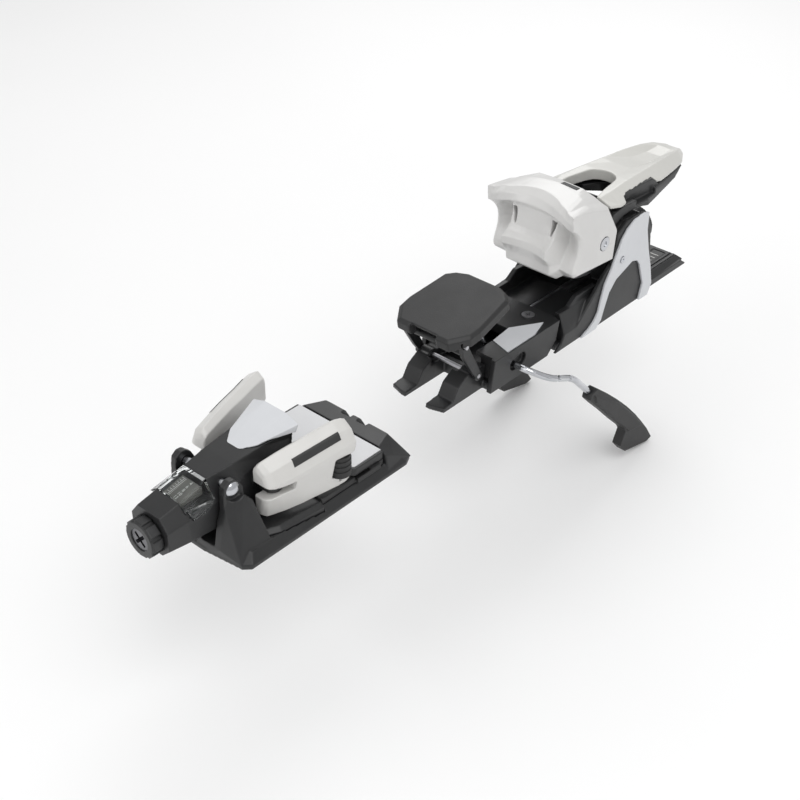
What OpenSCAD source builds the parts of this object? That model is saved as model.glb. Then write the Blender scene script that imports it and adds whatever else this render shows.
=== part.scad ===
// Alpine step-in ski binding: a toe unit and a heel unit with ski brakes, on one centre line.
// Frame: +X points to the ski's tip, +Y to the skier's left, +Z up.  The ski's top is z = 0 and the
// origin is the middle of the toe unit's four mounting holes.  Millimetres.

/* [Mounting] */
// Across-the-ski spacing of the toe holes
toe_hole_y = 42; // [38:0.5:44]
// Along-the-ski spacing of the toe holes
toe_hole_x = 42; // [38:0.5:44]
// Across-the-ski spacing of the heel holes
heel_hole_y = 48; // [46:0.5:49]
// Along-the-ski spacing of the heel holes
heel_hole_x = 54; // [52:0.5:56]
// Radius of a mounting hole for a 5.5 mm ski screw
hole_r = 3; // [2.8:0.1:3.2]

/* [Toe unit] */
// Full width of the toe base plate
toe_w = 89; // [87:0.5:92]
// Height of the sliding plate's top above the ski
afd_z = 20; // [19.5:0.5:20.5]
// Height of the release spring's axis
toe_axis_z = 28.7; // [28.4:0.1:29]
// Radius of the toe adjusting knob
knob_r = 13.2; // [12.5:0.1:13.4]

/* [Heel unit] */
// Half width of the heel cup's upper lip
cup_w = 39.3; // [38.5:0.1:40]
// Radius of the brake wire
wire_r = 2.5; // [2.3:0.1:2.6]
// Distance from the middle of the ski to the straight part of a brake arm
arm_y = 62; // [60:0.5:66]

/* [Hidden] */
$fn = 48;
black = "#2b2c2e";
white = "#e9e9e7";
steel = "#b9bcc0";

// Running clearance between a shaft and its hole, on the radius
run = 0.05;
// Toe unit: the height-tilt axle, the wing pins and the wing rollers
axle_x = 70.5;
axle_z = 47;
axle_r = 3;
pin_x = 42;
pin_y = 27;
pin_r = 2.2;
roller_x = -3;
roller_y = 41;
roller_r = 7;
roller_pin_r = 1.5;
ear_z = 37;
ear_h = 6;
// Brake: A is the wire's pivot, B the pad's hinge on the wire, C the pad's front pin,
// D the front link's pivot on the track's fork, each as [x, z]
brake_a = [-190, 13];
brake_b = [-165.5, 50];
brake_c = [-139.2, 50];
brake_d = [-156, 17];
inner_y = 11;
link_pin_r = 1.6;
// Heel: the axle that the cup turns on and the pin that the lever turns on, as [x, z]
heel_axle_p = [-312, 50];
cup_pin_p = [-286, 74];
heel_axle_r = 3;
cup_pin_r = 2.5;
tube_z = 37;
screw_z = 15;
heel_mid_x = -205;

// ---------------------------------------------------------------- helpers

module both_sides() { children(); mirror([0, 1, 0]) children(); }

module rod_x(r, x0, x1, y = 0, z = 0) translate([x0, y, z]) rotate([0, 90, 0]) cylinder(r = r, h = x1 - x0);

module rod_y(r, y0, y1, p) translate([p[0], y0, p[1]]) rotate([-90, 0, 0]) cylinder(r = r, h = y1 - y0);

module rod_z(r, z0, z1, x, y) translate([x, y, z0]) cylinder(r = r, h = z1 - z0);

// An outline in x and z, carried across from y0 to y1
module slab_xz(points, y0, y1)
    translate([0, y1, 0]) rotate([90, 0, 0]) linear_extrude(y1 - y0) polygon(points);

// An outline in x and y, carried up from z0 to z1
module slab_xy(points, z0, z1) translate([0, 0, z0]) linear_extrude(z1 - z0) polygon(points);

module block(low, high) translate(low) cube(high - low);

// The smallest convex solid around a list of corners
module hull_of(points)
    hull() polyhedron(points, [for (i = [1:len(points) - 2]) [0, i, i + 1]]);

// Skin over rings of points, all rings with the same count, ends closed
module loft(rings) {
    n = len(rings[0]);
    m = len(rings);
    points = [for (r = rings) for (p = r) p];
    sides = [for (i = [0:m - 2], j = [0:n - 1], k = [0, 1])
        let (a = i * n + j, b = i * n + (j + 1) % n, c = a + n, d = b + n)
        k == 0 ? [a, b, d] : [a, d, c]];
    inward = total([for (f = sides) cross(points[f[0]], points[f[1]]) * points[f[2]]]) > 0;
    faces = concat(sides, [[for (j = [n - 1:-1:0]) j]], [[for (j = [0:n - 1]) (m - 1) * n + j]]);
    polyhedron(points, inward ? [for (f = faces) [for (j = [len(f) - 1:-1:0]) f[j]]] : faces);
}

function total(values) = values * [for (v = values) 1];
function flip_y(points) = [for (i = [len(points) - 1:-1:0]) [points[i][0], -points[i][1]]];
function with_mirror(points) = concat(points, flip_y(points));
function at_z(points, z) = [for (p = points) [p[0], p[1], z]];
function at_x(points, x) = [for (p = points) [x, p[0], p[1]]];
function at_y(points, y) = [for (p = points) [p[0], y, p[1]]];
function inset(points, dx, dy) = [for (p = points) [p[0] - sign(p[0]) * dx, p[1] - sign(p[1]) * dy]];

// A round wire of radius r along a path of points
module tube(path, r, sides = 12) {
    last = len(path) - 1;
    function unit(v) = v / norm(v);
    rings = [for (i = [0:last])
        let (t = unit(path[min(i + 1, last)] - path[max(i - 1, 0)]),
            up = abs(t[0]) > 0.9 ? [0, 0, 1] : [1, 0, 0],
            u = unit(cross(t, up)), v = cross(t, u))
        [for (k = [0:sides - 1]) path[i] + r * (cos(k * 360 / sides) * u + sin(k * 360 / sides) * v)]];
    loft(rings);
}

// A path of straight runs with each inner corner rounded: the corner is replaced by a short curve
function rounded(path, cut, steps = 5) = concat([path[0]],
    [for (i = [1:len(path) - 2], s = [0:steps])
        let (p = path[i], a = path[i - 1] - p, b = path[i + 1] - p,
            ca = min(cut, norm(a) * 0.45), cb = min(cut, norm(b) * 0.45),
            q0 = p + a / norm(a) * ca, q1 = p + b / norm(b) * cb, t = s / steps)
        (1 - t) * (1 - t) * q0 + 2 * t * (1 - t) * p + t * t * q1],
    [path[len(path) - 1]]);

function helix_x(r, x0, x1, turns, z) = [for (i = [0:turns * 14])
    [x0 + (x1 - x0) * i / (turns * 14), r * sin(i * 360 / 14), z + r * cos(i * 360 / 14)]];

// ---------------------------------------------------------------- toe unit, fixed part

base_outline = with_mirror([[-71, 34], [-69, 41], [-62, toe_w / 2], [77, toe_w / 2], [82, 40], [86, 9]]);
carrier_outline = with_mirror([[13, 42], [48, 39.5], [56, 36], [59, 24], [55, 13]]);
carrier_top = with_mirror([[13, 39], [46.5, 36.5], [54.5, 33], [57.5, 21], [53.5, 10]]);

module toe_base() color(black) difference() {
    union() {
        loft([at_z(base_outline, 0), at_z(base_outline, 3), at_z(inset(base_outline, 4, 4.5), 9)]);
        // Faceted shoulders that rise from the front edge to the axle lugs
        both_sides() {
            hull_of([[85.8, 1, 2], [85.6, 8, 8.6], [85.4, 14, 3], [82, 40, 3], [84.8, 24, 8], [79, 25, 37], [73, 25.6, 44], [66, 27, 44],
                [60, 28.6, 37], [56.5, 39.6, 8.9], [60, 20, 3], [75, 19.6, 38], [84, 19.6, 10]]);
            slab_xz([[63, 30], [63, 46], [65.4, 51], [69.4, 54.4], [73.6, 54.8], [77.4, 52], [78.4, 46], [79, 36], [82, 20]],
                19.6, 24.6);
        }
        // Ramp behind the sliding plate, with two notches in its rear edge
        hull_of([for (k = [-1, 1]) for (p = [[-45, 35, 20.5], [-46, 40.6, 15.5], [-45.2, 43.5, 4], [-69, 42.5, 3],
            [-60.5, 28.8, 19.4], [-62.5, 26, 17.6], [-70.5, 15, 3], [-53, 40.8, 12.5]]) [p[0], k * p[1], p[2]]]);
    }
    both_sides() block([-72, 3, 9.4], [-57, 11.4, 30]);
    slab_xy(inset(carrier_outline, -0.4, -0.4), 3.4, 60);
    block([12.6, -42.4, 3.4], [13.8, 42.4, 60]);
    block([-44.6, -40.4, 8.7], [13.2, 40.4, 40]);
    // Room for the spring housing between the lugs
    block([50, -19, 9], [90, 19, 70]);
    rod_y(axle_r + run, -30, 30, [axle_x, axle_z]);
    both_sides() rod_y(6.6, 23.6, 30, [axle_x, axle_z]);
    for (x = [-1, 1] * toe_hole_x / 2, y = [-1, 1] * toe_hole_y / 2) rod_z(hole_r, -1, 12, x, y);
}

// Plate under the wings, let into the base
module toe_carrier() color(black) difference() {
    loft([at_z(carrier_outline, 3.5), at_z(carrier_outline, 9), at_z(carrier_top, 11.5)]);
    for (x = [-1, 1] * toe_hole_x / 2, y = [-1, 1] * toe_hole_y / 2) rod_z(6.5, 3, 12, x, y);
}

module toe_axle() color(steel) {
    rod_y(axle_r, -24.4, 24.4, [axle_x, axle_z]);
    both_sides() intersection() {
        translate([axle_x, 19.7, axle_z]) sphere(r = 6.5);
        block([axle_x - 7, 23.6, axle_z - 7], [axle_x + 7, 27, axle_z + 7]);
    }
}

// ---------------------------------------------------------------- toe unit, head

// Eight-sided section of the spring housing: half widths and heights
function tube_ring(bottom, side, top, z0, z1, z2, z3) =
    [[bottom, z0], [side, z1], [side, z2], [top, z3], [-top, z3], [-side, z2], [-side, z1], [-bottom, z0]];

module toe_shell() loft([at_x(tube_ring(12, 15, 17.5, 13, 20, 50, 57.2), 14),
    at_x(tube_ring(12, 16, 14, 13, 20, 49, 56.5), 38), at_x(tube_ring(11, 18, 12.6, 13.4, 20, 45, 55), 60),
    at_x(tube_ring(10.5, 18.4, 10, 14, 20.5, 39.5, 53.4), 79), at_x(tube_ring(10, 18, 10.2, 15, 22, 38, 47.8), 101),
    at_x(tube_ring(9, 16.6, 10, 16, 23, 36.5, 45), 116.5)]);

module toe_housing() color(black) difference() {
    union() {
        toe_shell();
        // Ears that carry the wing pins
        both_sides() {
            rod_z(6.4, ear_z - ear_h / 2, ear_z + ear_h / 2, pin_x, pin_y);
            block([pin_x - 6.4, 12, ear_z - ear_h / 2], [pin_x + 6.4, pin_y, ear_z + ear_h / 2]);
        }
    }
    rod_x(10.6, 24, 118, 0, toe_axis_z);
    rod_x(11.2, 112.6, 118, 0, toe_axis_z);
    rod_y(axle_r + run, -30, 30, [axle_x, axle_z]);
    both_sides() rod_z(pin_r, 10, 60, pin_x, pin_y);
    // Recess under the window
    hull_of([[79.5, -17, 41.5], [79.5, 17, 41.5], [101, -17, 41.5], [101, 17, 41.5],
        [79.5, -8.4, 56], [79.5, 8.4, 56], [101, -8.4, 56], [101, 8.4, 56]]);
    both_sides() hull_of([[79.8, 16.4, 42], [100.9, 16.4, 42], [97.4, 16.4, 36.2], [87.6, 16.4, 36.8], [79.8, 20, 45],
        [100.9, 20, 45], [97.4, 20, 36.2], [87.6, 20, 36.8]]);
}

// Faceted white cover over the wings' springs
module toe_cap() color(white) difference() {
    toe_cap_solid();
    toe_shell();
}

module toe_cap_solid() {
    hull_of([[50, 5, 54.3], [50, -5, 54.3], [50, 4.5, 55.6], [50, -4.5, 55.6], [38.8, 12.7, 57.6], [38.8, -12.7, 57.6],
        [12, 9, 66], [12, -9, 66], [12, 17, 57.4], [12, -17, 57.4], [38.8, 12.4, 56.6], [38.8, -12.4, 56.6]]);
    both_sides() hull_of([[30, 8, 60], [38, 12.6, 57.8], [24, 14, 57.4], [14, 20.5, 57.4], [11.4, 20.5, 62], [11.4, 9, 66],
        [11.4, 9, 57.4], [26, 9, 57.4]]);
}

// Clear moulding over the scale, wrapping the top and both shoulders
module toe_window() color([0.85, 0.88, 0.9, 0.4]) difference() {
    hull_of([[79.7, -10, 53.6], [79.7, 10, 53.6], [100.8, -10.2, 48.3], [100.8, 10.2, 48.3], [81, 18.6, 43.4], [81, -18.6, 43.4],
        [88.2, 18.8, 37.4], [88.2, -18.8, 37.4], [96.8, 18.6, 36.8], [96.8, -18.6, 36.8], [99.8, 18.4, 41.6], [99.8, -18.4, 41.6]]);
    hull_of([[70, -8.6, 52.2], [70, 8.6, 52.2], [110, -8.6, 44.6], [110, 8.6, 44.6],
        [70, 16.9, 41.8], [70, -16.9, 41.8], [110, 16.9, 36], [110, -16.9, 36], [70, 0, 36], [110, 0, 36]]);
    block([70, -16.8, 30], [110, 16.8, 41.65]);
}

module toe_scale() color("#8f8d84") slab_xz([[82, 41.6], [98.5, 41.6], [98.5, 44], [82, 47.5]], -8.2, 8.2);

module toe_indicator() color("#c7a34a") difference() {
    rod_x(10.3, 86, 92, 0, toe_axis_z);
    rod_x(4.6, 85, 93, 0, toe_axis_z);
}

module toe_knob() color(black) difference() {
    union() {
        rod_x(10.9, 112.9, 117.2, 0, toe_axis_z);
        rod_x(knob_r - 1.2, 117, 125.4, 0, toe_axis_z);
        for (a = [0:45:315]) rotate_about_toe(a) block([117, -3.6, 0], [124.6, 3.6, knob_r - 0.35]);
    }
    rod_x(7.6, 112, 126, 0, toe_axis_z);
}

module rotate_about_toe(a) translate([0, 0, toe_axis_z]) rotate([a, 0, 0]) children();

// Adjusting screw with a cross recess in its bright head
module toe_screw() color(steel) difference() {
    union() {
        rod_x(7.5, 113, 124.6, 0, toe_axis_z);
        rod_x(4.55, 62, 113, 0, toe_axis_z);
    }
    rotate_about_toe(45) {
        block([120.5, -1.2, -5.6], [125, 1.2, 5.6]);
        block([120.5, -5.6, -1.2], [125, 5.6, 1.2]);
    }
}

module toe_spring() color("#8c9094") tube(helix_x(8.2, 29.2, 84.3, 7, toe_axis_z), 1.5, 6);

// Rod inside the release spring, with the disc that the spring pushes on
module toe_piston() color(steel) {
    rod_x(4, 27, 61.5, 0, toe_axis_z);
    rod_x(10.5, 24.1, 27.5, 0, toe_axis_z);
}

// ---------------------------------------------------------------- toe wings

// Section of the left wing at x, from its outer foot round to its inner foot.
// t runs from 0 at the nose to 1 at the rear end.
function wing_ring(t, shrink) = let (
    foot_y = 26.5 + 16 * pow(t, 0.62), foot_z = 14.2 + 1.8 * t,
    rim_y = 37 + 13.6 * pow(t, 0.8), rim_z = 43.5 + 9.5 * t,
    top_z = 57 + 10 * pow(t, 0.75), in_y = 21.4 + 12 * pow(t, 0.85),
    mid = [(foot_y + in_y) / 2, 38], k = 1 - shrink)
    [for (p = [[foot_y - 3.5, foot_z], [foot_y, foot_z + 0.6], [foot_y + 0.3 * (rim_y - foot_y), foot_z + 16],
            [rim_y - 0.6, rim_z - 4], [rim_y, rim_z], [(rim_y + in_y + 6) / 2 + 1.2, (rim_z + top_z) / 2 + 2],
            [in_y + 4 + 2 * t, top_z],
            [in_y, top_z - 4], [in_y + 1, 23], [foot_y - 4.2, 22]])
        mid + k * (p - mid)];

wing_stations = [[53, 0, 0.3], [52.1, 0, 0.12], [49.3, 0.04, 0.03], [37, 0.2, 0], [24.3, 0.4, 0], [10.2, 0.6, 0],
    [-1, 0.8, 0], [-7, 0.92, 0.03], [-10.1, 0.98, 0.1], [-11.8, 1, 0.3]];

module wing_shape() for (i = [0:len(wing_stations) - 2])
    hull_of([for (k = [i, i + 1]) let (s = wing_stations[k]) for (p = wing_ring(s[1], s[2])) [s[0], p[0], p[1]]]);

module wing() difference() {
    wing_shape();
    // Slot for the housing's ear
    block([pin_x - 8.5, 0, ear_z - ear_h / 2 - 0.4], [60, 60, ear_z + ear_h / 2 + 0.4]);
    hull_of([for (y = [0, 60]) for (q = [[39, 34.2], [39, 39.8], [56, 31.4], [56, 42.6]]) [q[0], y, q[1]]]);
    rod_z(pin_r + run, 15, 54, pin_x, pin_y);
    // Window for the roller, and the hole for its pin
    block([roller_x - 12, 10, 26], [roller_x + 7.8, 60, 42.6]);
    rod_z(roller_pin_r, 20, 50, roller_x, roller_y);
}

module wing_pins() color(steel) both_sides() rod_z(pin_r, 20, 52, pin_x, pin_y);

module wing_roller() color(black) difference() {
    union() {
        rod_z(roller_r, 26.5, 42.1, roller_x, roller_y);
        for (z = [29, 33, 37]) rod_z(roller_r + 0.4, z, z + 2.2, roller_x, roller_y);
    }
    rod_z(roller_pin_r + run, 20, 50, roller_x, roller_y);
}

module wing_left() color(white) wing();
module wing_right() color(white) mirror([0, 1, 0]) wing();
module roller_left() wing_roller();
module roller_right() mirror([0, 1, 0]) wing_roller();
module roller_pin_left() color(steel) rod_z(roller_pin_r, 22, 47, roller_x, roller_y);
module roller_pin_right() mirror([0, 1, 0]) roller_pin_left();

// ---------------------------------------------------------------- sliding plate under the toe

plate_outline = [[-44, 37.7], [-19.5, 37.7], [-15.5, 34.5], [-12, 29], [-8, 22.5], [0, 15.5], [9, 11]];
rim_outline = [[-44, 39.8], [-18.6, 39.8], [-14, 36.6], [-10.2, 31], [-6, 24.6], [1.4, 18], [11.5, 13]];

module afd_frame() color(black) difference() {
    union() {
        block([-44.2, -40, 9], [-16, 40, 13.2]);
        block([-16.1, -40, 9], [12.8, 40, 13.2]);
        both_sides() block([-40, 39.9, 9], [-18, 42, 13]);
    }
    // Cross channel for the slider's tongue, and room over the mounting screws
    block([-31, -41, 10.6], [-18, 41, 20]);
    for (x = [-1, 1] * toe_hole_x / 2, y = [-1, 1] * toe_hole_y / 2) rod_z(6.5, 5, 20, x, y);
}

// Black slider that carries the white low-friction pad
module afd_slider() color(black) difference() {
    union() {
        slab_xy(with_mirror(rim_outline), 13.6, afd_z - 0.4);
        block([-30.6, -28, 11], [-18.4, 28, 13.7]);
    }
    slab_xy(with_mirror(concat([[-50, 37.7]], plate_outline)), afd_z - 3, afd_z + 1);
}

module afd_plate() color(white) slab_xy(with_mirror(plate_outline), afd_z - 3, afd_z);

// ---------------------------------------------------------------- heel unit, fixed part

fork_side = [[-120.5, 0], [-121, 3.2], [-133.5, 4], [-139, 13], [-150, 19.5], [-168, 19.5], [-168, 0]];

module heel_track() color(black) difference() {
    union() {
        both_sides() intersection() {
            slab_xz(fork_side, 9.5, 24);
            slab_xy([[-119, 9], [-123.8, 25], [-170, 25], [-170, 9]], -1, 30);
        }
        both_sides() rod_y(4.4, 14.4, 24, brake_d);
        block([-168, -24, 0], [-163, 24, 13]);
        block([-240.5, -29.6, 0], [-166, 29.6, 6]);
        block([-412, -33, 0], [-240, 33, 5.5]);
        slab_xz([[-374, 5], [-412, 5], [-418, 1], [-418, 0], [-374, 0]], -33, 33);
        // Raised rear end with its chamfered sides
        hull_of([[-369, 33, 5], [-369, -33, 5], [-370, 28, 9], [-370, -28, 9], [-411, 28, 9], [-411, -28, 9],
            [-417, 31, 4], [-417, -31, 4]]);
        // Rack teeth for the length screw
        for (x = [-365:5:-245]) block([x, -6, 5], [x + 2.4, 6, 7.8]);
    }
    block([-161.5, -9.5, -1], [-100, 9.5, 40]);
    for (x = [heel_mid_x - heel_hole_x / 2, heel_mid_x + heel_hole_x / 2], y = [-1, 1] * heel_hole_y / 2) {
        rod_z(hole_r, -1, 30, x, y);
        rod_z(5.6, 5, 30, x, y);
    }
    rod_y(link_pin_r + run, -35, 35, brake_d);
    block([-408, 8, 8.2], [-374, 20, 12]);
    block([-170, -14.2, 13], [-149, 14.2, 40]);
}

module track_index() color(white) slab_xy([[-378, 9.5], [-378, 18.5], [-387, 14]], 8.25, 8.9);

side_box = [[-163, 0.4], [-164, 5], [-167.5, 26], [-243, 26], [-240, 10], [-230, 0.4]];

module brake_base() color(black) difference() {
    union() {
        both_sides() {
            slab_xz(side_box, 30, 34);
            slab_xz([[-169, 6.05], [-169.5, 26], [-244, 26], [-238, 6.05]], 14.5, 30.1);
        }
        block([-244, -14.6, 18], [-208, 14.6, 26]);
        block([-238, -14.6, 6.05], [-226, 14.6, 18.1]);
    }
    both_sides() {
        // Room for the wire's bend, its bearing, and the wider mouth in the outer wall
        block([-203, 0, 5], [-160, 19, 22.3]);
        rod_y(wire_r + run, 10, 31, brake_a);
        rod_y(5, 30.5, 40, brake_a);
        rod_y(5, 30.5, 40, brake_a + [-8, 1]);
        block([-198, 30.5, 8.5], [-190, 40, 18.5]);
        slab_xy([[-187.6, 14.2], [-209, 12.2], [-232.6, 27], [-215, 33], [-182.6, 33]], 25, 30);
    }
    for (y = [-12, 12]) rod_z(2.6, 10, 30, -233, y);
    for (y = [-12, 12]) rod_z(5.2, 24.6, 30, -233, y);
    for (x = [heel_mid_x - heel_hole_x / 2, heel_mid_x + heel_hole_x / 2], y = [-1, 1] * heel_hole_y / 2) rod_z(5.6, 5, 17, x, y);
}

module brake_inserts() color(white) both_sides()
    slab_xy([[-188, 15], [-209, 12.8], [-232, 27], [-214.8, 32.6], [-183, 32.6]], 25, 26.3);

module brake_screws() color(steel) for (y = [-12, 12]) difference() {
    union() {
        rod_z(2.5, 10.5, 24.7, -233, y);
        rod_z(4.9, 24.65, 26.4, -233, y);
    }
    translate([-233, y, 25.4]) {
        cube([4.6, 0.9, 3], center = true);
        cube([0.9, 4.6, 3], center = true);
    }
}

// ---------------------------------------------------------------- brake

function xz(p, y) = [p[0], y, p[1]];

module brake_wire() color(steel) both_sides() tube(concat(
    rounded([xz(brake_b, -0.5), xz(brake_b, inner_y), xz(brake_a, inner_y), xz(brake_a, 30)], 7, 6),
    rounded([xz(brake_a, 36), xz(brake_a, 46), [-202, 58, 5], [-224, arm_y, -3], [-292, arm_y, -76]], 9, 6)),
    wire_r, 16);

shoe_side = [[-243.6, -32], [-245, -27.4], [-252.7, -25.6], [-267, -37.4], [-281, -49.8], [-297, -65], [-311.6, -80.6],
    [-322.8, -94], [-332, -105.6], [-340.6, -118.6], [-334, -120], [-302, -112.4], [-293.6, -102.6], [-299, -90.6],
    [-296, -86], [-281, -71], [-265, -54], [-252, -41]];

module brake_shoes() color(black) both_sides() difference() {
    union() {
        slab_xz(shoe_side, arm_y - 3.6, arm_y + 4.6);
        hull_of([for (q = [[-3.6, 0], [4.6, 0], [-5, 2.2], [6, 2.2]]) for (p = [[-249, -30], [-284, -54.6], [-311, -82],
            [-322, -95.4], [-303.6, -92], [-278, -66], [-251, -37]]) [p[0], arm_y + q[0], p[1] - q[1] * 0.3]]);
    }
    tube([[-224, arm_y, -3], [-292.3, arm_y, -76.3]], wire_r, 16);
}

// The pad is designed flat and turned up about its hinge by this much when the brake is out
pad_tilt = 9.9;
// Outline of the pad, from its hinge, seen from above
pad_outline = with_mirror([[-31.5, 15], [-28, 24], [-22.6, 29.5], [14, 33.5], [24, 32.8], [37, 23.5]]);

module pad_frame() translate([brake_b[0], 0, brake_b[1]]) rotate([0, pad_tilt, 0]) children();

module brake_pad() color(black) pad_frame() difference() {
    union() {
        difference() {
            loft([at_z(inset(pad_outline, 2.5, 2.5), 2.6), at_z(pad_outline, 5), at_z(pad_outline, 11.4),
                at_z(inset(pad_outline, 2, 2), 13.6)]);
            // Hollow underside
            block([-25, -25, 0], [30, 25, 9.4]);
            both_sides() block([-20, 24.9, 0], [29.4, 29.4, 9.4]);
        }
        // Bosses that hold the wire's cross bar
        for (y = [-5.5, 1.5]) block([-4.5, y, -4.2], [4.5, y + 4, 9]);
    }
    rod_y(wire_r + run, -12, 12, [0, 0]);
    rod_y(link_pin_r, -40, 40, pad_local_c);
    // Notch in the front edge
    block([29.5, -12, 0], [42, 12, 11.4]);
    block([34.4, -12, 0], [42, 12, 15]);
}

pad_local_c = let (d = brake_c - brake_b, a = pad_tilt)
    [d[0] * cos(a) - d[1] * sin(a), d[0] * sin(a) + d[1] * cos(a)];

module pad_pin() color(steel) rod_y(link_pin_r, -31, 31, brake_c);

// Link between the fork and the pad's front pin
module pad_link() color(black) difference() {
    union() {
        both_sides() {
            rod_y(3.6, 25, 28.6, brake_d);
            rod_y(2.9, 25, 28.6, brake_c);
            slab_xz([brake_d + [-3.2, 1.4], brake_d + [3.4, 1], brake_d + [7, 6], brake_c + [1, -9],
                brake_c + [2.8, -1], brake_c + [-2.8, 1]], 25, 28.6);
        }
        rod_y(2.8, -25.2, 25.2, brake_c + [-4.4, -9]);
    }
    rod_y(link_pin_r + 0.7, -35, 35, brake_c);
    rod_y(link_pin_r, -35, 35, brake_d);
}

module link_pin() color(steel) rod_y(link_pin_r, -28.6, 28.6, brake_d);

// ---------------------------------------------------------------- heel housing

skirt = [[-236, 0.5], [-243, 6], [-246, 12.5], [-290, 12.5], [-298, 14], [-356, 14], [-356, 0.5]];
frame_side = [[-262, 1], [-262, 14], [-283, 33], [-292, 42.5], [-301.5, 49], [-304.2, 60], [-305.8, 73], [-318, 79.4],
    [-339, 78.6], [-347, 75], [-352, 60], [-354, 45], [-358.4, 20], [-356, 1]];

module heel_housing() color(black) difference() {
    union() {
        both_sides() {
            slab_xz(skirt, 34.5, 37);
            slab_xz(frame_side, 33.4, 37);
            // Chamfered ledge beside the well, and the rib between it and the side frame
            hull_of([[-246, 37, 12], [-246, 26.6, 12], [-246, 26.6, 28.2], [-246, 31, 28.2], [-290, 37, 12], [-290, 26.6, 12],
                [-290, 26.6, 28.2], [-290, 32, 28.2]]);
            hull_of([[-258, 31, 28], [-268, 31, 34.6], [-268, 26.6, 34.6], [-258, 26.6, 28], [-300, 31, 16], [-300, 26.6, 16],
                [-292, 31, 34], [-292, 26.6, 34], [-258, 31, 16], [-258, 26.6, 16]]);
        }
        block([-290, -34.6, 5.9], [-246, 34.6, 13]);
        block([-290, -27, 12.9], [-246, 27, 20]);
        block([-356, -34.6, 5.9], [-289, 34.6, 16]);
        // Spring tube on its web, and the two cross walls that carry it
        block([-384, -12, 15.9], [-327, 12, 40]);
        rod_x(15.5, -390, -323, 0, tube_z);
        block([-330, -33.5, 15.8], [-323, 33.5, 40]);
        block([-352, -33.5, 15.8], [-346, 33.5, 46]);
        // Hood under the lever
        slab_xz([[-305.4, 61], [-306, 72.4], [-318, 78.6], [-340, 77], [-347.6, 73], [-351, 61]], -33.5, 33.5);
    }
    rod_x(12.6, -381, -326, 0, tube_z);
    rod_x(8.05, -391, -380, 0, tube_z);
    rod_x(3.4, -327, -317, 0, tube_z);
    rod_y(heel_axle_r, -38, 38, heel_axle_p);
    rod_x(4.9, -362, -240, 0, screw_z);
    // Channel for the track's rack
    block([-420, -7, 0], [-240, 7, 8.7]);
    // Indicator window in the tube's top
    block([-376, -4, 45], [-354, 4, 60]);
}

module side_panels() color(white) both_sides() {
    // Two-legged cover: long front leg, short rear leg and the cheek that joins them
    difference() {
        slab_xz([[-265.5, 0.8], [-269.5, 2.6], [-275.6, 4.8], [-281.6, 8.6], [-286, 14.4], [-288.4, 24], [-292, 36],
            [-298.6, 46], [-303.6, 56], [-309.6, 67.4], [-316, 74], [-325, 78.4], [-338, 79.4], [-343.6, 78], [-344, 62],
            [-348.6, 44], [-354, 28], [-358.4, 9.6], [-354, 0.8], [-342, 0.8], [-345.4, 14.6], [-338, 34.6], [-334, 40],
            [-326.6, 42.4], [-306, 35], [-298.4, 27], [-293.6, 15], [-290.6, 6], [-284, 0.8]], 37, 39.2);
        rod_y(2.6, 36, 40, heel_axle_p);
    }
}

module panel_rivets() color(steel) both_sides() difference() {
    rod_y(2.6, 38.2, 39.9, heel_axle_p);
    rod_y(1.1, 39.3, 41, heel_axle_p);
}

module heel_axle() color(steel) rod_y(heel_axle_r, -36.8, 36.8, heel_axle_p);

module length_screw() color(steel) difference() {
    rod_x(4.8, -361, -252, 0, screw_z);
    block([-362, -0.7, screw_z - 4], [-359, 0.7, screw_z + 4]);
}

// ---------------------------------------------------------------- heel cup

// Side outlines of the cup, in x and z, from the top's rear edge round the front and back:
// at the middle, at the edge of the middle block, just outside it, at the flank and at the flank's rim
cup_mid = [[-281, 115], [-274, 116], [-258, 115.6], [-251.6, 111.4], [-248.2, 106], [-249.6, 102.6], [-249.4, 94],
    [-248.6, 86], [-246.6, 81.4], [-243.4, 78.4], [-242.2, 73], [-243, 66], [-242.6, 59], [-252, 51.6], [-297, 57], [-303, 78]];
cup_quarter = [[-280.5, 114.6], [-269, 115], [-252, 114.4], [-247.2, 110.5], [-246, 104.8], [-249.6, 101.6], [-249.8, 93.4],
    [-247.6, 86.5], [-243, 82], [-237, 79.6], [-237, 73.4], [-243.6, 65.4], [-244.4, 57.6], [-254, 50.6], [-297, 57], [-303, 79]];
cup_side = [[-282, 112], [-269, 114.4], [-249, 114], [-245.4, 110], [-245, 103.6], [-254.6, 98.6], [-261, 92], [-262.6, 85.4],
    [-261.6, 80], [-258, 75], [-255, 70.6], [-252.4, 66.4], [-250.4, 62], [-257, 54], [-298, 57.6], [-303, 79.6]];
cup_flank = [[-289, 102.5], [-266, 110], [-243.4, 112.3], [-242.9, 106], [-244.4, 99.8], [-250, 94.6], [-253.4, 89], [-254.8, 83],
    [-254.6, 77], [-253.2, 72], [-251.6, 68.4], [-250.2, 65], [-249.8, 61.8], [-251.6, 58.6], [-300, 54.4], [-303, 80]];
cup_edge = [[-287, 101], [-266, 108], [-244.4, 111.6], [-243.6, 106], [-245.6, 100.4], [-251.6, 94.6], [-255.4, 89], [-256.8, 83],
    [-256.6, 77], [-255.4, 72], [-254, 68.6], [-253, 65.6], [-252.4, 63], [-254, 60.4], [-298.4, 56.4], [-300.8, 79]];

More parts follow.
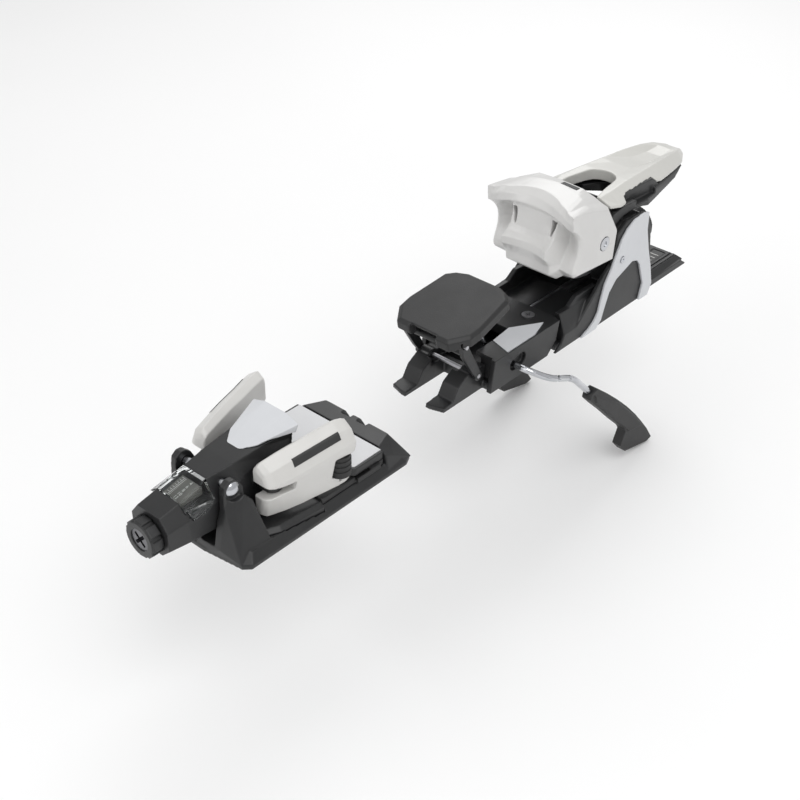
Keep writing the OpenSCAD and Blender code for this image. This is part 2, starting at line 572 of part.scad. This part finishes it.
function smooth(t) = t * t * (3 - 2 * t);
function blend(a, b, t) = [for (i = [0:len(a) - 1]) (1 - t) * a[i] + t * b[i]];
function cup_at(y) = let (d = abs(y))
    d <= 20 ? blend(cup_mid, cup_quarter, pow(d / 20, 2))
    : d <= 24.4 ? blend(cup_quarter, cup_side, smooth((d - 20) / 4.4))
    : d <= 36.6 ? blend(cup_side, cup_flank, smooth((d - 24.4) / 12.2)) : cup_edge;
cup_half = [0, 5, 10, 15, 20, 22.2, 24.4, 28.4, 32.6, 36.6, 39];

module heel_cup() color(white) difference() {
    union() {
        both_sides() loft([for (y = cup_half) at_y(cup_at(y), y)]);
        // Flared corners of the upper lip
        both_sides() hull_of([[-243, cup_w, 111.6], [-244, cup_w, 100], [-256, 38.4, 93.4], [-243.6, 34, 112.2], [-245, 34, 100.5],
            [-262, 38.6, 107.4], [-262, 38.6, 96]]);
    }
    // Hollow back
    block([-320, -32.9, 40], [-268, 32.9, 93]);
    block([-269, -24.4, 40], [-258, 24.4, 64]);
    hull_of([for (k = [-1, 1]) for (p = [[-272, 28, 92], [-320, 28, 92], [-273, 20, 108], [-320, 20, 108]]) [p[0], k * p[1], p[2]]]);
    // Slits beside the middle panel
    both_sides() hull_of([for (x = [-274, -240]) for (p = [[15.6, 85.2], [16.4, 84.8], [20.2, 99], [16, 100]]) [x, p[0], p[1]]]);
    rod_y(cup_pin_r, -40, 40, cup_pin_p);
    rod_y(5.4, 36.4, 42, cup_pin_p);
    rod_y(5.4, -42, -36.4, cup_pin_p);
}

// Cam block that turns with the cup on the heel axle
module cup_cam() color("#6f7276") difference() {
    union() {
        rod_y(8.5, -24, 24, heel_axle_p);
        slab_xz([[-312, 43], [-290, 40], [-274, 43.6], [-262, 49.8], [-258, 54], [-258, 64], [-268, 64], [-268, 90],
            [-277, 90], [-280, 64], [-300, 58], [-312, 58.4]], -24, 24);
    }
    rod_y(heel_axle_r + run, -30, 30, heel_axle_p);
}

module cup_pin() color(steel) {
    rod_y(cup_pin_r, -36.5, 36.5, cup_pin_p);
    both_sides() difference() {
        rod_y(5.2, 36.4, 39.2, cup_pin_p);
        rod_y(2.2, 38.6, 40, cup_pin_p);
    }
}

// ---------------------------------------------------------------- opening lever

lever_wall = [[-318, 84], [-322.6, 95.4], [-330, 96], [-366, 93.6], [-373.4, 87], [-373.4, 80], [-330, 82]];

module lever_frame() color(black) difference() {
    union() {
        both_sides() {
            rod_y(7, 26.4, 32.5, cup_pin_p);
            slab_xz([[-282, 68.6], [-300, 75], [-318, 82.6], [-352, 82.6], [-352, 88], [-318, 90.6], [-306, 89], [-290, 79.6]],
                26.4, 32.5);
            slab_xz(lever_wall, 19.6, 25.4);
        }
        // Tray that carries the white cover
        hull_of([[-330, 30, 88], [-330, -30, 88], [-330, 30, 83], [-330, -30, 83], [-432, 9, 83.6], [-432, -9, 83.6],
            [-421, 17, 82], [-421, -17, 82], [-405, 21.6, 78.4], [-405, -21.6, 78.4], [-354, 31, 77], [-354, -31, 77],
            [-352, 31, 87], [-352, -31, 87]]);
    }
    rod_y(cup_pin_r + run, -40, 40, cup_pin_p);
    // Finger opening, and the long side recesses
    hull() { rod_z(11, 60, 120, -326, 4); rod_z(11, 60, 120, -326, -4); rod_z(9, 60, 120, -340, 0); }
    both_sides() hull_of([for (y = [25.3, 34]) for (q = [[-334, 84.5], [-366, 82.4], [-366, 89], [-334, 90]]) [q[0], y, q[1]]]);
}

// Section of the cover at x: half width w, rim height z0, crown height z1
function cover_ring(w, z0, z1, dish) =
    [[w, z0], [w, z0 + 2], [w * 0.66, z1], [w * 0.3, z1 - dish], [-w * 0.3, z1 - dish], [-w * 0.66, z1], [-w, z0 + 2], [-w, z0]];

module lever_cover() color(white) difference() {
    loft([at_x(cover_ring(10, 84.4, 89.6, 0.4), -433), at_x(cover_ring(17.6, 84.7, 94, 0.8), -420),
        at_x(cover_ring(21.4, 85.8, 96.6, 4.6), -405), at_x(cover_ring(25, 87, 98.2, 4.2), -385), at_x(cover_ring(28, 88.2, 99.4, 1), -360),
        at_x(cover_ring(30.4, 90, 100.6, 0.4), -338), at_x(cover_ring(33.4, 91.8, 101, 0.4), -312), at_x(cover_ring(31.5, 94, 99.6, 0.4), -301)]);
    // Hollow underside, over the frame's tray
    hull_of([for (k = [-1, 1]) for (p = [[-300, 29, 80], [-300, 29, 93.2], [-345, 27, 80], [-345, 27, 89.6], [-405, 17.6, 87],
        [-420, 14, 85.4], [-431, 8.4, 84.6], [-431, 8.4, 80]]) [p[0], k * p[1], p[2]]]);
    hull_of([for (k = [-1, 1]) for (p = [[-326, 31.4, 88.2], [-326, 31.4, 80], [-433, 9.6, 84], [-433, 9.6, 80],
        [-421, 17.4, 84.2], [-421, 17.4, 80], [-352, 31.4, 87.2], [-352, 31.4, 76]]) [p[0], k * p[1], p[2]]]);
    both_sides() {
        slab_xz(lever_wall, 19.5, 25.5);
        slab_xz([[-284, 80], [-290, 81], [-306, 90], [-318, 91], [-352, 88.6], [-352, 80]], 26.3, 32.6);
        // Notch in the lower edge, over the frame's side recess
        slab_xz([[-314, 80], [-315, 88], [-319, 92], [-322.6, 95.4], [-330, 96], [-366, 93.6], [-376.5, 87.4], [-376.5, 80]], 25.3, 40);
    }
    hull() { rod_z(13, 80, 120, -300, 5); rod_z(13, 80, 120, -300, -5); rod_z(13, 80, 120, -329, 0); }
}

// ---------------------------------------------------------------- heel release spring

module heel_spring() color("#8c9094") tube(helix_x(9.6, -331.6, -368, 5, tube_z), 1.7, 6);

// Push rod between the cam and the spring
module heel_piston() color(steel) {
    rod_x(3.35, -327, -321, 0, tube_z);
    rod_x(12.55, -329.6, -326.9, 0, tube_z);
}

module heel_screw() color(steel) difference() {
    union() {
        rod_x(8, -389, -380, 0, tube_z);
        rod_x(4, -380.1, -350, 0, tube_z);
    }
    translate([-389, 0, tube_z]) {
        cube([5, 1.8, 9], center = true);
        cube([5, 9, 1.8], center = true);
    }
}

// Threaded ring that the spring bears on, with the pointer that shows in the tube's window
module heel_nut() color("#c7a34a") difference() {
    union() {
        rod_x(12.5, -375, -370, 0, tube_z);
        block([-374.2, -3.4, tube_z], [-371, 3.4, 51.6]);
    }
    rod_x(4.05, -376, -369, 0, tube_z);
}

// ---------------------------------------------------------------- nodes

toe_base();
toe_carrier();
toe_axle();
toe_housing();
toe_cap();
toe_window();
toe_scale();
toe_indicator();
toe_knob();
toe_screw();
toe_spring();
toe_piston();
wing_left();
wing_right();
wing_pins();
roller_left();
roller_right();
roller_pin_left();
roller_pin_right();
afd_frame();
afd_slider();
afd_plate();
heel_track();
track_index();
brake_base();
brake_inserts();
brake_screws();
brake_wire();
brake_shoes();
brake_pad();
pad_pin();
pad_link();
link_pin();
heel_housing();
side_panels();
panel_rivets();
heel_axle();
heel_cup();
cup_pin();
cup_cam();
lever_frame();
lever_cover();
heel_spring();
heel_piston();
heel_screw();
heel_nut();
length_screw();
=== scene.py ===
import math

import bmesh
import bpy
from mathutils import Matrix, Vector
from mathutils.bvhtree import BVHTree


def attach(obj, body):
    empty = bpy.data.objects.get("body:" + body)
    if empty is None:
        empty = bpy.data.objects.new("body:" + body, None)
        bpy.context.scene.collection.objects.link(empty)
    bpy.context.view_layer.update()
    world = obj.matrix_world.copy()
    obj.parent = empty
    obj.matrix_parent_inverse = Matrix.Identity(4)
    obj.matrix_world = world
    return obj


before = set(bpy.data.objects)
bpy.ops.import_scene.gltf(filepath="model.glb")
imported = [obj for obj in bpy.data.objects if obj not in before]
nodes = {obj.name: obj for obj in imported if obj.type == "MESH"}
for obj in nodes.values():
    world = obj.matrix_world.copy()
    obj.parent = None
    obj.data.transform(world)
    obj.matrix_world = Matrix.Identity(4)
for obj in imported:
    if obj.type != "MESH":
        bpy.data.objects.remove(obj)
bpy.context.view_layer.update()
MM = 0.001

# Metres, in the row frame.
CAMERA_AT = (0.4875, 0.5367, 0.5743)
CAMERA_AIM = (-0.115, -0.0095, 0.0)
LIGHT_AIM = (-0.15, 0, 0)
FLOOR_Z = -0.1215
FLOOR_HALF = 6.0

# Millimetres: the toe's sloping scale strip, and the rows of marks on it.
SCALE_REAR_X = 82.0
SCALE_REAR_Z = 47.5
SCALE_LENGTH = 16.5
SCALE_DROP = 3.5
LINE_COUNT = 15
LINE_PITCH = 1.0
LINE_HALF_WIDTH = 0.14
LINE_INNER_Y = -3.2
NUMBERS = (4, 6, 8, 10, 12)
NUMBER_HEIGHT = 3.4
NUMBER_PITCH = 3.1

# Millimetres: the track's rear ridges and length marks.
RIDGE_YS = (-26.0, -21.5, 22.6, 26.4)
RIDGE_HALF_WIDTH = 0.8
MARK_FRONT_X = -390.5
MARK_PITCH = 5
MARK_HALF_WIDTH = 0.5


# ---------------------------------------------------------------- camera, light and floor

def look_at(obj, target):
    obj.rotation_euler = (Vector(target) - obj.location).to_track_quat("-Z", "Y").to_euler()


def make_camera():
    data = bpy.data.cameras.new("camera")
    data.lens = 63.0
    data.sensor_width = 36.0
    data.clip_start = 0.01
    cam = bpy.data.objects.new("camera", data)
    cam.location = CAMERA_AT
    bpy.context.scene.collection.objects.link(cam)
    look_at(cam, CAMERA_AIM)
    bpy.context.scene.camera = cam


def area_light(name, place, target, size, watts):
    data = bpy.data.lights.new(name, "AREA")
    data.shape = "DISK"
    data.size = size
    data.energy = watts
    lamp = bpy.data.objects.new(name, data)
    lamp.location = place
    bpy.context.scene.collection.objects.link(lamp)
    look_at(lamp, target)


def make_world():
    world = bpy.data.worlds.new("studio")
    bpy.context.scene.world = world
    world.use_nodes = True
    background = world.node_tree.nodes["Background"]
    background.inputs["Color"].default_value = (1.0, 1.0, 1.0, 1)
    background.inputs["Strength"].default_value = 0.66


def make_floor():
    mesh = bpy.data.meshes.new("floor")
    r, z = FLOOR_HALF, FLOOR_Z
    mesh.from_pydata([(-r, -r, z), (r, -r, z), (r, r, z), (-r, r, z)], [], [(0, 1, 2, 3)])
    floor = bpy.data.objects.new("floor", mesh)
    bpy.context.scene.collection.objects.link(floor)
    mesh.materials.append(floor_material())


# ---------------------------------------------------------------- materials

def new_material(name):
    mat = bpy.data.materials.new(name)
    mat.use_nodes = True
    tree = mat.node_tree
    return mat, tree, tree.nodes["Principled BSDF"]


def add(tree, kind, **values):
    node = tree.nodes.new(kind)
    for key, value in values.items():
        if key in node.inputs:
            node.inputs[key].default_value = value
        else:
            setattr(node, key, value)
    return node


def floor_material():
    mat, tree, shader = new_material("floor_paper")
    place = add(tree, "ShaderNodeTexCoord")
    cloud = add(tree, "ShaderNodeTexNoise", Scale=3.0, Detail=4.0)
    ramp = add(tree, "ShaderNodeValToRGB")
    ramp.color_ramp.elements[0].color = (0.93, 0.93, 0.93, 1)
    ramp.color_ramp.elements[1].color = (0.96, 0.96, 0.96, 1)
    tree.links.new(place.outputs["Object"], cloud.inputs["Vector"])
    tree.links.new(cloud.outputs["Fac"], ramp.inputs["Fac"])
    tree.links.new(ramp.outputs["Color"], shader.inputs["Base Color"])
    shader.inputs["Roughness"].default_value = 0.9
    return mat


def moulded(name, dark, light, rough, grain_mm, grain_depth, wear=None, wear_amount=0.5, coat=0.0,
            streaks=False, metal=0.0, cloud_scale=38.0):
    """A moulded or plated surface: mottled colour, uneven gloss, a fine grain, and paler worn edges."""
    mat, tree, shader = new_material(name)
    link = tree.links.new
    place = add(tree, "ShaderNodeTexCoord")
    source = place.outputs["Object"]
    if streaks:
        stretch = add(tree, "ShaderNodeMapping")
        stretch.inputs["Scale"].default_value = (1.0, 6.0, 6.0)
        link(source, stretch.inputs["Vector"])
        source = stretch.outputs["Vector"]
    cloud = add(tree, "ShaderNodeTexNoise", Scale=cloud_scale, Detail=5.0, Roughness=0.6)
    link(source, cloud.inputs["Vector"])
    ramp = add(tree, "ShaderNodeValToRGB")
    ramp.color_ramp.elements[0].position = 0.3
    ramp.color_ramp.elements[0].color = (*dark, 1)
    ramp.color_ramp.elements[1].position = 0.72
    ramp.color_ramp.elements[1].color = (*light, 1)
    link(cloud.outputs["Fac"], ramp.inputs["Fac"])
    colour = ramp.outputs["Color"]
    if wear:
        geometry = add(tree, "ShaderNodeNewGeometry")
        edge = add(tree, "ShaderNodeMapRange")
        edge.inputs["From Min"].default_value = 0.53
        edge.inputs["From Max"].default_value = 0.66
        edge.inputs["To Max"].default_value = wear_amount
        link(geometry.outputs["Pointiness"], edge.inputs["Value"])
        chips = add(tree, "ShaderNodeTexNoise", Scale=420.0, Detail=3.0)
        link(place.outputs["Object"], chips.inputs["Vector"])
        both = add(tree, "ShaderNodeMath", operation="MULTIPLY")
        link(edge.outputs["Result"], both.inputs[0])
        link(chips.outputs["Fac"], both.inputs[1])
        mix = add(tree, "ShaderNodeMix", data_type="RGBA")
        link(both.outputs["Value"], mix.inputs["Factor"])
        link(colour, mix.inputs["A"])
        mix.inputs["B"].default_value = (*wear, 1)
        colour = mix.outputs["Result"]
    link(colour, shader.inputs["Base Color"])
    smear = add(tree, "ShaderNodeTexNoise", Scale=cloud_scale * 2.3, Detail=6.0, Roughness=0.65)
    link(source, smear.inputs["Vector"])
    gloss = add(tree, "ShaderNodeMapRange")
    gloss.inputs["To Min"].default_value = rough[0]
    gloss.inputs["To Max"].default_value = rough[1]
    link(smear.outputs["Fac"], gloss.inputs["Value"])
    link(gloss.outputs["Result"], shader.inputs["Roughness"])
    grain = add(tree, "ShaderNodeTexNoise", Scale=1000.0 / grain_mm, Detail=2.0)
    link(source, grain.inputs["Vector"])
    bump = add(tree, "ShaderNodeBump", Strength=grain_depth, Distance=0.0003)
    link(grain.outputs["Fac"], bump.inputs["Height"])
    link(bump.outputs["Normal"], shader.inputs["Normal"])
    shader.inputs["Metallic"].default_value = metal
    shader.inputs["IOR"].default_value = 1.5
    shader.inputs["Coat Weight"].default_value = coat
    shader.inputs["Coat Roughness"].default_value = 0.12
    return mat


def glass_material():
    mat, tree, shader = new_material("clear_window")
    link = tree.links.new
    place = add(tree, "ShaderNodeTexCoord")
    haze = add(tree, "ShaderNodeTexNoise", Scale=260.0, Detail=3.0)
    gloss = add(tree, "ShaderNodeMapRange")
    gloss.inputs["To Min"].default_value = 0.02
    gloss.inputs["To Max"].default_value = 0.05
    bump = add(tree, "ShaderNodeBump", Strength=0.05, Distance=0.0003)
    ripple = add(tree, "ShaderNodeTexNoise", Scale=90.0, Detail=1.0)
    link(place.outputs["Object"], haze.inputs["Vector"])
    link(place.outputs["Object"], ripple.inputs["Vector"])
    link(haze.outputs["Fac"], gloss.inputs["Value"])
    link(gloss.outputs["Result"], shader.inputs["Roughness"])
    link(ripple.outputs["Fac"], bump.inputs["Height"])
    link(bump.outputs["Normal"], shader.inputs["Normal"])
    shader.inputs["Base Color"].default_value = (0.94, 0.96, 0.96, 1)
    shader.inputs["Transmission Weight"].default_value = 1.0
    shader.inputs["IOR"].default_value = 1.22
    return mat


def make_materials():
    grey = (0.11, 0.11, 0.115)
    return {
        "black": moulded("black_shell", (0.0115, 0.0118, 0.0125), (0.018, 0.0183, 0.019), (0.34, 0.46),
                         0.45, 0.14, grey, 0.22),
        "black_rough": moulded("black_grained", (0.013, 0.013, 0.0135), (0.02, 0.02, 0.0205), (0.48, 0.62),
                               0.7, 0.30, grey, 0.20),
        "black_pad": moulded("black_pad_face", (0.0125, 0.0126, 0.013), (0.019, 0.019, 0.0195), (0.40, 0.56),
                             0.9, 0.22, grey, 0.25, cloud_scale=24.0),
        "rubber": moulded("roller_rubber", (0.010, 0.010, 0.010), (0.018, 0.018, 0.018), (0.5, 0.66),
                          0.5, 0.25, grey, 0.15),
        "white_warm": moulded("white_jaw", (0.605, 0.597, 0.578), (0.635, 0.628, 0.610), (0.30, 0.38),
                              0.8, 0.05, coat=0.2),
        "white_pearl": moulded("white_heel", (0.615, 0.610, 0.600), (0.645, 0.640, 0.630), (0.26, 0.33),
                               0.8, 0.03, coat=0.35),
        "white_ivory": moulded("white_lever", (0.585, 0.580, 0.550), (0.615, 0.610, 0.580), (0.28, 0.36),
                               0.8, 0.04, coat=0.25),
        "white_cool": moulded("white_trim", (0.60, 0.612, 0.635), (0.635, 0.647, 0.67), (0.28, 0.38),
                              0.8, 0.05, coat=0.2),
        "white_slide": moulded("white_slide_pad", (0.63, 0.635, 0.65), (0.665, 0.67, 0.68), (0.34, 0.5), 0.6, 0.10),
        "chrome": moulded("bright_plating", (0.50, 0.51, 0.54), (0.62, 0.63, 0.65), (0.14, 0.24), 1.6, 0.03, metal=1.0,
                          cloud_scale=60.0),
        "steel": moulded("plain_steel", (0.42, 0.42, 0.44), (0.55, 0.55, 0.57), (0.28, 0.45), 0.6, 0.10, metal=1.0,
                         streaks=True, cloud_scale=80.0),
        "spring": moulded("spring_steel", (0.12, 0.12, 0.13), (0.22, 0.22, 0.23), (0.3, 0.45), 0.6, 0.12, metal=1.0),
        "cast": moulded("cast_cam", (0.10, 0.10, 0.105), (0.16, 0.16, 0.165), (0.45, 0.62), 0.8, 0.45, metal=0.6),
        "brass": moulded("yellow_plating", (0.45, 0.32, 0.10), (0.62, 0.46, 0.18), (0.25, 0.4), 0.7, 0.08, metal=1.0),
        "scale": moulded("scale_strip", (0.10, 0.098, 0.088), (0.15, 0.147, 0.135), (0.4, 0.55), 0.5, 0.1),
        "print_white": moulded("printed_white", (0.66, 0.66, 0.64), (0.74, 0.74, 0.72), (0.5, 0.6), 0.4, 0.08),
        "print_black": moulded("printed_black", (0.02, 0.02, 0.02), (0.035, 0.035, 0.035), (0.4, 0.55), 0.4, 0.08),
        "glass": glass_material(),
    }


# ---------------------------------------------------------------- finish on the frame's own pieces

def paint(obj, mat):
    if not obj.material_slots:
        obj.data.materials.append(mat)
    for slot in obj.material_slots:
        slot.material = mat


def soften(obj, voxel_mm, rounds):
    """Rounds every edge and corner a little, as a moulding's are."""
    remesh = obj.modifiers.new("skin", "REMESH")
    remesh.mode = "VOXEL"
    remesh.voxel_size = voxel_mm * MM
    remesh.use_smooth_shade = True
    smooth = obj.modifiers.new("radius", "SMOOTH")
    smooth.factor = 0.5
    smooth.iterations = rounds


def chamfer(obj, width_mm):
    bevel = obj.modifiers.new("edge", "BEVEL")
    bevel.width = width_mm * MM
    bevel.segments = 2
    bevel.limit_method = "ANGLE"
    bevel.angle_limit = math.radians(30)
    bevel.harden_normals = False
    bevel.use_clamp_overlap = True


# Piece: voxel size in mm, and rounds of smoothing.
SOFT = {
    "heel_cup": (0.55, 7), "wing_left": (0.5, 6), "wing_right": (0.5, 6), "lever_cover": (0.55, 6),
    "lever_frame": (0.55, 4), "brake_shoes": (0.5, 7), "brake_pad": (0.5, 4), "toe_base": (0.55, 4),
    "toe_carrier": (0.5, 4), "toe_housing": (0.5, 4), "toe_cap": (0.4, 4), "heel_housing": (0.6, 3),
    "brake_base": (0.5, 3), "heel_track": (0.6, 3), "side_panels": (0.5, 4), "toe_knob": (0.35, 3),
    "afd_slider": (0.5, 3), "afd_frame": (0.55, 3), "pad_link": (0.45, 3), "cup_cam": (0.55, 3),
}
# Piece: chamfer width in mm.
CHAMFERED = {"afd_plate": 0.5, "toe_window": 0.5, "toe_scale": 0.2, "brake_inserts": 0.35, "toe_screw": 0.3,
             "brake_screws": 0.25, "panel_rivets": 0.2, "cup_pin": 0.3, "track_index": 0.1}
FINISH = {
    "black": "toe_base toe_carrier toe_housing heel_housing brake_base heel_track pad_link lever_frame "
             "afd_slider toe_knob",
    "black_rough": "afd_frame brake_shoes",
    "black_pad": "brake_pad",
    "rubber": "roller_left roller_right",
    "white_warm": "wing_left wing_right",
    "white_cool": "toe_cap side_panels brake_inserts track_index",
    "white_pearl": "heel_cup",
    "white_ivory": "lever_cover",
    "white_slide": "afd_plate",
    "chrome": "toe_axle brake_wire cup_pin panel_rivets",
    "steel": "brake_screws toe_piston wing_pins roller_pin_left roller_pin_right pad_pin link_pin heel_axle "
             "heel_piston heel_screw length_screw",
    "spring": "toe_spring heel_spring toe_screw",
    "cast": "cup_cam",
    "brass": "toe_indicator heel_nut",
    "scale": "toe_scale",
    "glass": "toe_window",
}


def finish_frame(mats):
    for key, names in FINISH.items():
        for name in names.split():
            paint(nodes[name], mats[key])
    for name, (voxel, rounds) in SOFT.items():
        soften(nodes[name], voxel, rounds)
    for name, width in CHAMFERED.items():
        chamfer(nodes[name], width)


# ---------------------------------------------------------------- pieces that the frame leaves out

def surface_of(name):
    """A tree of one frame piece's finished surface, and its place in the row frame."""
    obj = nodes[name]
    bpy.context.view_layer.update()
    return BVHTree.FromObject(obj, bpy.context.evaluated_depsgraph_get()), obj.matrix_world.copy()


def mesh_piece(name, points, faces, mat, body, smooth=False):
    mesh = bpy.data.meshes.new(name)
    mesh.from_pydata([Vector(p) * MM for p in points], [], faces)
    mesh.update()
    obj = bpy.data.objects.new(name, mesh)
    bpy.context.scene.collection.objects.link(obj)
    mesh.materials.append(mat)
    for face in mesh.polygons:
        face.use_smooth = smooth
    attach(obj, body)
    return obj


def decal(name, node, body, place, aim, size, mat, count=(36, 10), lift=0.08, thick=0.18):
    """A thin printed strip laid on a piece: place(u, v) is a point off it, and aim is the way down to it."""
    tree, world = surface_of(node)
    back = world.inverted()
    down = Vector(aim).normalized()
    nu, nv = count
    rows = []
    for layer in (lift + thick, lift):
        for j in range(nv + 1):
            for i in range(nu + 1):
                start = Vector(place(size[0] * (i / nu - 0.5), size[1] * (j / nv - 0.5))) * MM
                hit = tree.ray_cast(back @ start, back.to_3x3() @ down)[0]
                spot = world @ hit if hit else start
                rows.append(spot / MM - down * layer)
    wide = nu + 1
    half = wide * (nv + 1)
    faces = []
    for j in range(nv):
        for i in range(nu):
            a = j * wide + i
            faces.append((a, a + 1, a + wide + 1, a + wide))
            faces.append((half + a, half + a + wide, half + a + wide + 1, half + a + 1))
    edge = list(range(nu)) + [j * wide + nu for j in range(nv)]
    edge += [nv * wide + i for i in range(nu, 0, -1)] + [j * wide for j in range(nv, 0, -1)]
    for k, a in enumerate(edge):
        b = edge[(k + 1) % len(edge)]
        faces.append((a, half + a, half + b, b))
    return mesh_piece(name, rows, faces, mat, body, smooth=True)


def jaw_label(side, name, node, body, mat):
    """A blank dark strip along the jaw's upper face."""
    def place(u, v):
        x = 17.0 + u
        t = (53.0 - x) / 65.0
        y = 37.4 + 9.4 * t + v * 0.62
        z = 53.4 + 7.4 * t - v * 0.78
        return (x, side * (y + 16), z + 16)
    decal(name, node, body, place, (0, -side, -1), (34, 5.6), mat)


def bar(name, low, high, mat, body, cut=0.25):
    """A small raised bar with its edges eased."""
    bm = bmesh.new()
    bmesh.ops.create_cube(bm, size=1.0)
    for vert in bm.verts:
        for k in range(3):
            vert.co[k] = (low[k] if vert.co[k] < 0 else high[k]) * MM
    bmesh.ops.bevel(bm, geom=list(bm.edges), offset=cut * MM, segments=2, affect="EDGES", clamp_overlap=True)
    mesh = bpy.data.meshes.new(name)
    bm.to_mesh(mesh)
    bm.free()
    obj = bpy.data.objects.new(name, mesh)
    bpy.context.scene.collection.objects.link(obj)
    mesh.materials.append(mat)
    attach(obj, body)
    return obj


def on_scale(u, v, lift=0.12):
    """A point on the sloping scale strip: u runs forward from its rear edge, v to the left."""
    slope = SCALE_DROP / SCALE_LENGTH
    return (SCALE_REAR_X + u, v, SCALE_REAR_Z - slope * u + lift)


def scale_marks(mats):
    """Graduation lines and plain numbers on the strip under the toe's window."""
    points, faces = [], []
    for k in range(LINE_COUNT):
        u = 1.4 + k * LINE_PITCH
        outer = LINE_INNER_Y - (2.2 if k % 2 else 3.8)
        n = len(points)
        half = LINE_HALF_WIDTH
        for du, v in ((-half, outer), (half, outer), (half, LINE_INNER_Y), (-half, LINE_INNER_Y)):
            points.append(on_scale(u + du, v))
        faces.append((n, n + 1, n + 2, n + 3))
    mesh_piece("scale_lines", points, faces, mats["print_white"], "toe_head")
    slope = math.atan2(SCALE_DROP, SCALE_LENGTH)
    for k, number in enumerate(NUMBERS):
        curve = bpy.data.curves.new("scale_number_%d" % number, "FONT")
        curve.body = str(number)
        curve.size = NUMBER_HEIGHT * MM
        curve.align_x = "CENTER"
        curve.align_y = "CENTER"
        curve.extrude = 0.04 * MM
        obj = bpy.data.objects.new("scale_number_%d" % number, curve)
        obj.location = Vector(on_scale(2.0 + k * NUMBER_PITCH, 1.6)) * MM
        turn = Matrix.Rotation(slope, 4, "Y") @ Matrix.Rotation(math.radians(90), 4, "Z")
        obj.rotation_euler = turn.to_euler()
        bpy.context.scene.collection.objects.link(obj)
        curve.materials.append(mats["print_white"])
        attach(obj, "toe_head")


def track_marks(mats):
    """Ridges and length marks on the track's raised rear end."""
    for k, y in enumerate(RIDGE_YS):
        bar("track_ridge_%d" % k, (-410.0, y - RIDGE_HALF_WIDTH, 8.6), (-372.0, y + RIDGE_HALF_WIDTH, 9.9),
            mats["black"], "base")
    for k in range(3):
        x = MARK_FRONT_X - MARK_PITCH * k
        bar("track_mark_%d" % k, (x - MARK_HALF_WIDTH, 9.6, 8.1), (x + MARK_HALF_WIDTH, 17.4, 8.5),
            mats["print_white"], "base", 0.1)


def added_pieces(mats):
    jaw_label(1, "label_left", "wing_left", "left_wing", mats["print_black"])
    jaw_label(-1, "label_right", "wing_right", "right_wing", mats["print_black"])
    decal("cup_strip", "heel_cup", "heel_cup", lambda u, v: (-276.5 + v, 11.0 + u, 140.0), (0, 0, -1), (14, 4.4),
          mats["print_black"], count=(16, 6))
    scale_marks(mats)
    track_marks(mats)


make_camera()
make_world()
make_floor()
area_light("key", (0.25, 0.9, 1.5), LIGHT_AIM, 1.3, 10)
area_light("fill", (1.3, -0.2, 0.9), LIGHT_AIM, 1.2, 4.5)
area_light("rim", (-1.2, -0.6, 1.1), LIGHT_AIM, 1.0, 6)
bpy.context.scene.view_settings.view_transform = "Standard"
mats = make_materials()
finish_frame(mats)
added_pieces(mats)
